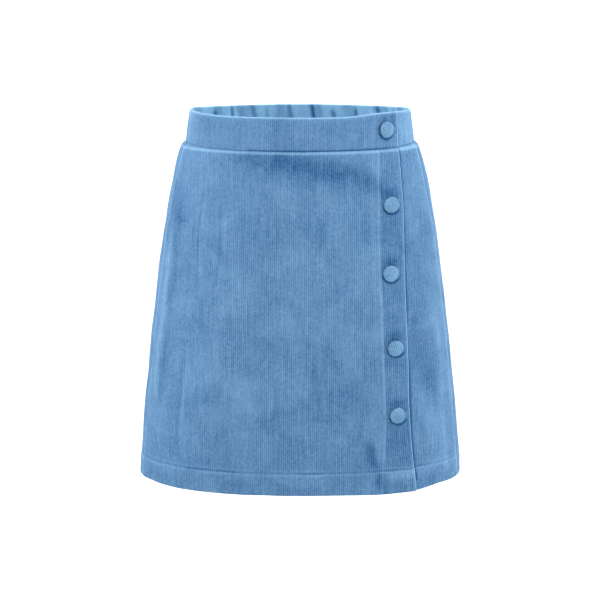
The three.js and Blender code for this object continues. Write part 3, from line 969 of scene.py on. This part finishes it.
def hem_relief(arc, drop):
    """Stitches pull a groove across the cloth, and the hem below swells out of it,
    puckered a little between them."""
    below = drop - HEM_STITCHES
    pucker = np.sin(2 * np.pi * arc / 13.0 + 1.3 * np.sin(arc / 17.0))
    groove = -(0.3 + 0.35 * stitched(arc)) * bell(below, 1.5)
    swell = (0.5 + 0.14 * pucker) * bell(below - 5.9, 4.2)
    return groove + swell + 0.12 * pucker * bell(below + 4.6, 3.5)


def front_relief(arc, drop, share):
    own = folds_at(FRONT_FOLDS, arc, drop) + lap_lift(arc, drop)
    return seam_dip(skirt, arc, drop) + own + hem_relief(arc, drop) + swells_at(arc, drop)


TOP_EASE = 1.1


def under_relief(arc, drop, share):
    """Behind the placket the under panel follows the front panel's folds. At its top it
    is eased out, level with the band."""
    behind = 1 - smoothstep(placket_seam(drop), placket_edge(drop), arc)
    own = recess(skirt, HEM_CLOTH + LAP_CLEARANCE, placket_edge(drop), arc, drop)
    own = own + folds_at(UNDER_FOLDS, arc, drop) + behind * folds_at(FRONT_FOLDS, arc, drop)
    own = own + TOP_EASE * bell(drop - BAND_HEIGHT, 3)
    return seam_dip(skirt, arc, drop) + own + hem_relief(arc, drop) + swells_at(arc, drop)


def back_relief(arc, drop, share):
    whole = skirt.whole(drop)
    count = gather_count(share)
    height = BAND_GATHER + (PANEL_GATHER - BAND_GATHER) * smoothstep(SKIRT_TOP, 50, drop)
    height = height * (1 - smoothstep(BAND_HEIGHT, GATHER_FADE, drop))
    seam = seam_dip(skirt, np.where(arc < whole / 2, arc, whole - arc), drop)
    own = height * gather_wave(count) + flute_wave(count, drop)
    return own + seam + hem_relief(arc, drop) + swells_at(arc, drop)


# where the sag begins at the left, where it is deepest and how wide there, and its drops
LEFT_ARCS, SAG_ARC, SAG_WIDTH, SAG_DROPS = (-195, -140), 98, 34, (300, LENGTH)


def hang(arc, drop):
    """The hem sags a little in front, and most beside the overlap."""
    sag = FRONT_SAG * smoothstep(*LEFT_ARCS, arc) + LAP_SAG * bell(arc - SAG_ARC, SAG_WIDTH)
    return sag * smoothstep(*SAG_DROPS, drop)


def hang_beside(arc, drop):
    """Beside the overlap's corner the under panel hangs a little lower too."""
    edge = placket_edge(drop)
    beside = smoothstep(edge - 22, edge, arc) * (1 - smoothstep(edge, edge + 45, arc))
    return UNDER_SAG * beside * smoothstep(HEM_TOP - 60, LENGTH, drop)


# %% The four panels
left_edge, right_edge, back_start, back_end = side_edges(skirt)
panel_front = Cloth(
    "front_panel", skirt, left_edge, lambda drop: placket_seam(drop) + SEAM_BITE / 2,
    front_relief, reach=hang,
)
panel_placket = Cloth(
    "placket", skirt, lambda drop: placket_seam(drop) - SEAM_BITE / 2, placket_edge,
    front_relief, pit=dimples_at, reach=hang,
)
panel_under = Cloth("under_panel", skirt, under_edge, right_edge, under_relief, reach=hang_beside)
panel_back = Cloth("back_panel", skirt, back_start, back_end, back_relief)


def placket_grain(drops):
    return placket_edge(drops), np.ones_like(drops)


def back_grain(drops):
    """Above the hip the back's wales draw together into the gathers."""
    wide = panel_back.right(drops) - panel_back.left(drops)
    flat = float(np.interp(GATHER_FADE, drops, wide))
    return skirt.whole(drops) / 2, np.minimum(wide / flat, 1.0)


# %% [markdown]
# These marks change the cloth's tone and not its shape: light and shade painted where
# they fall on it. A shoulder, a ridge or a fold gets a painted highlight, a groove, a
# hollow or a crease painted shade, and the cloth beside the overlap and round the buttons
# a painted shadow. These marks follow the seams, and a few more are listed one by one.

# %% The panels' painted light and shade
# name, arc, drop, to arc, to drop, bow, width, painted light or shade
FRONT_SHADING = (
    ("shade in the hollow", -70, 43, 104, 84, -5, 15, -0.52),
    ("dark in the pinch", 79, 372, 97, 430, 0, 7, -0.4),
    ("pale corner of the hem", 104, 411, 138, 409, 0, 6, 0.45),
    ("pale ridge at the left", -164, 120, -190, 330, 0, 4.5, 0.35),
    ("shade at the top left", -166, 60, -172, 150, 0, 16, -0.4),
    ("first crease at the left", -117, 88, -123, 190, 2, 1.8, -0.2),
    ("pale side of the first", -112, 98, -118, 176, 3, 2.2, 0.15),
    ("second crease at the left", -92, 100, -103, 212, -3, 1.8, -0.2),
    ("pale side of the second", -87, 114, -98, 200, -4, 2.4, 0.15),
    ("low crease at the left", -140, 270, -150, 385, 3, 2.4, -0.18),
    ("pale side of the low one", -134, 285, -144, 372, 4, 3.0, 0.18),
    ("shade beside the ridge", -148, 90, -177, 330, 0, 7, -0.2),
)
# the same for the under panel: painted shade beside the placket, painted light towards the side
UNDER_SHADING = (
    ("shade beside the placket", 137, 232, 180, 340, 6, 15, -0.2),
    ("pale by the side seam", 178, 240, 192, 420, 0, 6, 0.35),
    ("pale at the top right", 168, 30, 178, 110, 0, 14, 0.15),
)
# distance below the hem stitches, width, strength of the painted highlights beside them
HEM_HIGHLIGHTS = ((2.2, 1.3, 0.5), (7.4, 4, 0.12), (-2.6, 1.4, 0.25))
# the painted highlight on the shoulder and on the side ridges, and the painted shade beside the back's
# seams
SHOULDER_DROP, SHOULDER_HIGHLIGHT = 39.7, 0.95
RIDGE_HIGHLIGHT, BEHIND_SEAM_SHADE = 0.5, -0.15
# painted shade on the placket, and on the lower front, darker towards the hem
PLACKET_SHADE, LOWER_SHADE = -0.14, -0.1
# the painted shadow beside the overlap's free edge and the painted shade in the notch at its corner
BESIDE_LAP_SHADOW, NOTCH_SHADE = -1.0, -0.9


def nap_along_seams(arc, drop):
    """A painted highlight on the shoulder under the band, and painted shade in the groove of
    the hem stitches with a painted highlight on either side."""
    below = drop - HEM_STITCHES
    uneven = 0.75 + 0.25 * np.sin(arc / 9.0) * np.sin(arc / 23.0 + 1)
    hem = sum(pale * bell(below - place, width) for place, width, pale in HEM_HIGHLIGHTS)
    dark = 0.1 + 0.3 * stitched(arc)
    return SHOULDER_HIGHLIGHT * bell(drop - SHOULDER_DROP, 1.2) + uneven * hem - dark * bell(below, 1.1)


def side_ridge(arc, drop):
    """The front panels end at the side seam in a ridge with a painted highlight."""
    ahead = skirt.arc_at(SIDE_SEAM_ANGLE, drop) - np.abs(arc)
    return RIDGE_HIGHLIGHT * bell(ahead - 1.5, 1.8)


def front_nap(arc, drop):
    seam = arc - placket_seam(drop)
    # a painted highlight along the placket's seam
    along = (0.4 * bell(seam + 0.6, 1.2) + 0.15 * bell(seam + 6, 5)) * (1 - smoothstep(385, 405, drop))
    marks = folds_at(FRONT_SHADING, arc, drop) + pressed_by_buttons(arc, drop)
    # painted shade on the placket and towards the hem
    placket_and_lower_shade = PLACKET_SHADE * smoothstep(0, 2, seam) + LOWER_SHADE * smoothstep(230, 420, drop)
    return marks + nap_along_seams(arc, drop) + side_ridge(arc, drop) + along + placket_and_lower_shade


def under_nap(arc, drop):
    """A painted shadow lies beside the free edge of the overlap, painted light along the top under the
    band, and painted shade in the notch at the corner.
    """
    beside = arc - placket_edge(drop)
    shade = BESIDE_LAP_SHADOW * bell(beside - 4, 2.8) * (1 - smoothstep(415, 423, drop))
    marks = folds_at(UNDER_SHADING, arc, drop) + 0.8 * bell(drop - 38.2, 1)
    marks = marks + NOTCH_SHADE * bell(beside - 5, 3) * bell(drop - 417, 4)
    return marks + nap_along_seams(arc, drop) + side_ridge(arc, drop) + shade


def back_nap(arc, drop):
    # painted light on the gathers' crests, painted shade in their valleys and beside the side seams
    wave = gather_wave(gather_count(panel_back.share(arc, drop)))
    near = np.minimum(arc - panel_back.left(drop), panel_back.right(drop) - arc)
    gathered = 0.4 * wave * (1 - smoothstep(BAND_HEIGHT, GATHER_FADE, drop))
    return gathered + nap_along_seams(arc, drop) + BEHIND_SEAM_SHADE * bell(near - 2, 3.5)


# %% The panels' walls
plain_rows, back_rows, placket_rows = skirt_rows(5.5), skirt_rows(6.6), skirt_rows(1.2)
front = make_wall(panel_front, plain_rows, (PRESSED, FOLDED, PRESSED, GROOVE), front_nap)
placket = make_wall(
    panel_placket, placket_rows, (PRESSED, FOLDED, GROOVE, FOLDED), front_nap, placket_grain, double=True
)
under = make_wall(panel_under, plain_rows, (PRESSED, FOLDED, FOLDED, PRESSED), under_nap)
back = make_wall(panel_back, back_rows, (SEWN, FOLDED, PRESSED, PRESSED), back_nap, back_grain)

# %% What each panel was cut to
for piece, cloth, held, sewn_to, materials in (
    (front, panel_front, "hung", ["waistband_front_cloth"], (blue_corduroy, plain_back)),
    (placket, panel_placket, "folded", ["front_panel_cloth"], (blue_corduroy,)),
    (under, panel_under, "hung", ["waistband_under_cloth"], (blue_corduroy, plain_back)),
    (back, panel_back, "gathered", ["waistband_back_cloth"], (blue_corduroy, plain_back)),
):
    widths = cloth.right(plain_rows) - cloth.left(plain_rows)
    finish_cloth(piece, cloth.name, materials)
    print(piece.name, "is", round(float(widths.max())), "mm wide at most")

# %% [markdown]
# ## Hem stitches
#
# The hem is turned up and sewn with one row of stitches. Corduroy nearly swallows them,
# so what shows is the groove and, in it, short dashes of thread. One stitch is a tiny
# capsule of a few faces. We place it over and over along the groove with array sums.

# %% A row of stitches on a cloth piece
STITCH, STITCH_GAP, THREAD_RADIUS = 2.6, 0.7, 0.26


def stitch_row(cloth, drop):
    """Capsules laid end to end: rings of points round a short line whose radius falls
    as a sine towards both ends, and whose ends dive into the cloth."""
    level = np.array([drop])
    start, end = float(cloth.left(level)[0]) + 2, float(cloth.right(level)[0]) - 2
    count = int((end - start) / (STITCH + STITCH_GAP))
    centre = np.linspace(start, end, count)[:, None]
    along = np.linspace(-0.5, 0.5, 5)
    arc = centre + along * STITCH
    face, out, _, _ = cloth.lay(arc, np.full(arc.shape, drop))
    run = unit(face[:, -1:] - face[:, :1])
    aside = np.cross(run, out)
    turn = np.radians(np.arange(0, 360, 60))
    radius = THREAD_RADIUS * np.cos(np.pi * along * 0.98) ** 0.6
    lift = 0.12 - 0.5 * (2 * np.abs(along)) ** 4
    centre_line = face + out * lift[None, :, None]
    ring = np.cos(turn)[:, None] * out[:, :, None] + np.sin(turn)[:, None] * aside[:, :, None]
    points = centre_line[:, :, None] + ring * radius[None, :, None, None]
    number = np.arange(len(along) * len(turn)).reshape(len(along), len(turn))
    fan = np.array([[0, 1, 2], [0, 2, 3], [0, 3, 4], [0, 4, 5]])
    one = np.concatenate([face_triangles(closed(number)), number[0][fan], number[-1][fan[:, ::-1]]])
    faces = np.arange(count)[:, None, None] * number.size + one
    return points.reshape(-1, 3), faces.reshape(-1, 3)


for cloth in (panel_front, panel_placket, panel_under, panel_back):
    piece = make_piece(cloth.name + "_hem_thread", *stitch_row(cloth, HEM_STITCHES))
    piece.data.materials.append(thread)
    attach(piece, "root")

# %% [markdown]
# ## Covered buttons
#
# A covered button is a round of the same cloth pulled over a domed cap and pinched shut
# behind it. The pull makes its outline a little uneven, and every button was cut at its
# own angle, so the wales run another way on each. The surface is a profile turned about
# an axis, from the middle of the foot round the rim to the top of the dome.

# %% The profile of a covered button
BUTTON_RADIUS, BUTTON_HEIGHT, BUTTON_CLEARANCE = 9.3, 7.0, 0.9
SHANK, PLATE, RIM = 2.2, 2.8, 1.3
COLUMNS_ROUND = 108
# how far many small corners and three broad ones stand out of the rim
SMALL_CORNERS, BROAD_CORNERS = 0.13, 0.10


def button_profile():
    """Radius and height: the foot, the flat underside, a quarter and a bit of a circle
    at the rim, then a dome whose height is a power of a cosine."""
    foot = [(0, 0), (SHANK * 0.6, 0), (SHANK, 0.05), (SHANK, PLATE * 0.6)]
    below = [(r, PLATE + 0.12 * math.sin(r * 1.9)) for r in (2.5, 3.6, 4.8, 6.0, 7.2)]
    turns = np.radians(np.linspace(-90, 30, 9))
    rim = np.stack([BUTTON_RADIUS - RIM + RIM * np.cos(turns), PLATE + RIM + RIM * np.sin(turns)], axis=1)
    shoulder = rim[-1]
    turns = np.radians(np.linspace(86, 0, 24))
    dome_height = shoulder[1] + (BUTTON_HEIGHT - shoulder[1]) * np.cos(turns) ** 1.3
    dome = np.stack([shoulder[0] * np.sin(turns), dome_height], axis=1)
    return np.concatenate([foot, below, rim, dome])


# %% One covered button
def button_surface(degrees, number):
    """The button's own x, y and z, its ribs' height, and its place across and along
    the cloth. The ribs are cut in along the profile's normal."""
    profile = button_profile()
    radius, height = profile.T
    turn = np.radians(np.linspace(0, 360, COLUMNS_ROUND, endpoint=False))
    reach = smoothstep(SHANK, BUTTON_RADIUS, radius)[:, None]
    corners = 9 + number % 3
    uneven = SMALL_CORNERS * np.cos(corners * turn + number)
    uneven = uneven + BROAD_CORNERS * np.cos(3 * turn + 2.1 * number)
    radius = radius[:, None] * (1 + reach * (uneven - 0.05) / BUTTON_RADIUS)
    x, y = radius * np.cos(turn), radius * np.sin(turn)
    angle = math.radians(degrees)
    across = x * math.cos(angle) + y * math.sin(angle)
    along = y * math.cos(angle) - x * math.sin(angle)
    covered = smoothstep(PLATE + 0.3, PLATE + RIM, height)[:, None]
    ribs = wale_height(across + 0.7 * number) * covered
    z = height[:, None] + 0.06 * np.sin(0.9 * x + number) * np.cos(0.8 * y) * covered
    slope = np.gradient(profile, axis=0)
    normal = unit(np.stack([slope[:, 1], -slope[:, 0]], axis=1))
    radial = 1 + ribs * normal[:, :1] / np.maximum(radius, 1e-6)
    return x * radial, y * radial, z + ribs * normal[:, 1:], ribs, np.stack([across, along], axis=-1)


def make_button(name, arc, drop, turn_to_front, droop, degrees, number):
    """The button sits just clear of the cloth's face, with its axis leaning from it."""
    form = band if drop < BAND_HEIGHT else skirt
    at = np.array([[float(arc)]]), np.array([[float(drop)]])
    point, out, down = (part[0, 0] for part in form.frame_at(*at))
    folds = front_relief(*at, 0)[0, 0] if form is skirt else 0.0
    seat = point + out * (folds + dimples_at(*at)[0, 0] + BUTTON_CLEARANCE)
    x, y, z, ribs, cloth = button_surface(degrees, number)
    axis = unit(out + np.array([0, -turn_to_front, -droop]))
    side = unit(np.cross(axis, down))
    points = seat + x[..., None] * side + y[..., None] * np.cross(axis, side) + z[..., None] * axis
    place = np.arange(x.size).reshape(x.shape)
    place[0], place[-1] = 0, x.size - 1
    faces = face_triangles(closed(place))[:, ::-1]
    faces, pile = faces[has_area(faces)], (1 + ribs / WALE_DEPTH).ravel()
    return make_piece(name + "_cover", points.reshape(-1, 3), faces, cloth.reshape(-1, 2), pile)


for number, (name, *sizes) in enumerate(BUTTONS):
    cover = make_button(name, *sizes, number)
    cover.data.materials.append(button_corduroy)
    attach(cover, "root")
    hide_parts(name)

# %% [markdown]
# ## Floor, light and camera
#
# The skirt hangs at the height of a waist, over a pale floor. It is lit as in a
# photographer's white room: the sky is brightest overhead, and a soft lamp high in
# front brings out the folds. A weak lamp at each side lights the rims.

# %% Floor
FLOOR_RADIUS, FLOOR_HEIGHT = 14.0, -1.03
floor_paint, tree = new_material("matt_white_floor")
place = add(tree, "TexCoord").outputs["Object"]
grain = add(tree, "TexNoise", Vector=place, Scale=3.0, Detail=3.0)
shade = add(tree, "MapRange", Value=grain, To_Min=0.97, To_Max=1.0)
colour = add(tree, "HueSaturation", Color=linear("#a8a8a8"), Value=shade)
# the floor shines brighter far out, where it runs into the white sky
away = add(tree, "VectorMath", {"operation": "LENGTH"}, i0=place).outputs["Value"]
glow = add(tree, "MapRange", Value=away, From_Min=0.8, From_Max=2.2, To_Min=0.05, To_Max=0.75)
add_surface(tree, Base_Color=colour, Roughness=0.9, Emission_Color=(1, 1, 1, 1), Emission_Strength=glow)
turn = np.radians(np.arange(0, 360, 5))
x, y = FLOOR_RADIUS * np.cos(turn), FLOOR_RADIUS * np.sin(turn)
disc = bpy.data.meshes.new("floor")
disc.from_pydata(np.stack([x, y, np.full(72, FLOOR_HEIGHT)], axis=1), [], [np.arange(72)])
disc.materials.append(floor_paint)
floor = bpy.data.objects.new("floor", disc)
bpy.context.scene.collection.objects.link(floor)

# %% Light
def sky_ramp(height, start, end, low, high):
    """low before start, high after end, and an S-curve between them."""
    return add(
        sky, "MapRange", {"interpolation_type": "SMOOTHSTEP"},
        Value=height, From_Min=start, From_Max=end, To_Min=low, To_Max=high,
    )


world = bpy.data.worlds.new("white_room")
world.use_nodes = True
sky = world.node_tree
way = add(sky, "SeparateXYZ", Vector=add(sky, "TexCoord").outputs["Generated"])
# white round the horizon, dimmer in front above it and brightest overhead
dimmer = sky_ramp(way.outputs["Y"], -0.5, 0.25, -0.76, 0.0)
above = sky_ramp(way.outputs["Z"], 0.1, 0.3, 0.0, 1.0)
overhead = sky_ramp(way.outputs["Z"], 0.1, 0.8, 1.0, 3.0)
forward = calculate(sky, "MULTIPLY_ADD", dimmer, above, 1.0)
strength = calculate(sky, "MULTIPLY", forward, overhead)
background = sky.nodes["Background"]
background.inputs["Color"].default_value = (1, 1, 1, 1)
sky.links.new(strength.outputs[0], background.inputs["Strength"])
bpy.context.scene.world = world


def soft_lamp(name, place, target, size, watts):
    light = bpy.data.lights.new(name, "AREA")
    light.shape = "DISK"
    light.size = size
    light.energy = watts
    lamp = bpy.data.objects.new(name, light)
    lamp.location = place
    lamp.rotation_euler = (Vector(target) - Vector(place)).to_track_quat("-Z", "Y").to_euler()
    bpy.context.scene.collection.objects.link(lamp)


soft_lamp("key", (0.25, -1.8, 1.7), (0, 0, -0.2), 0.5, 19)
soft_lamp("left_rim", (-1.7, 0.1, 0.2), (0, 0, -0.2), 0.8, 8)
soft_lamp("right_rim", (1.7, 0.1, 0.2), (0, 0, -0.2), 0.8, 5)

# %% Camera
lens = bpy.data.cameras.new("camera")
lens.lens = 117.3
lens.sensor_width = 36
camera = bpy.data.objects.new("camera", lens)
camera.location = (0, -2.280, 0.216)
camera.rotation_euler = (Vector((0, 0, -0.2055)) - camera.location).to_track_quat("-Z", "Y").to_euler()
bpy.context.scene.collection.objects.link(camera)
bpy.context.scene.camera = camera
bpy.context.scene.view_settings.view_transform = "Standard"
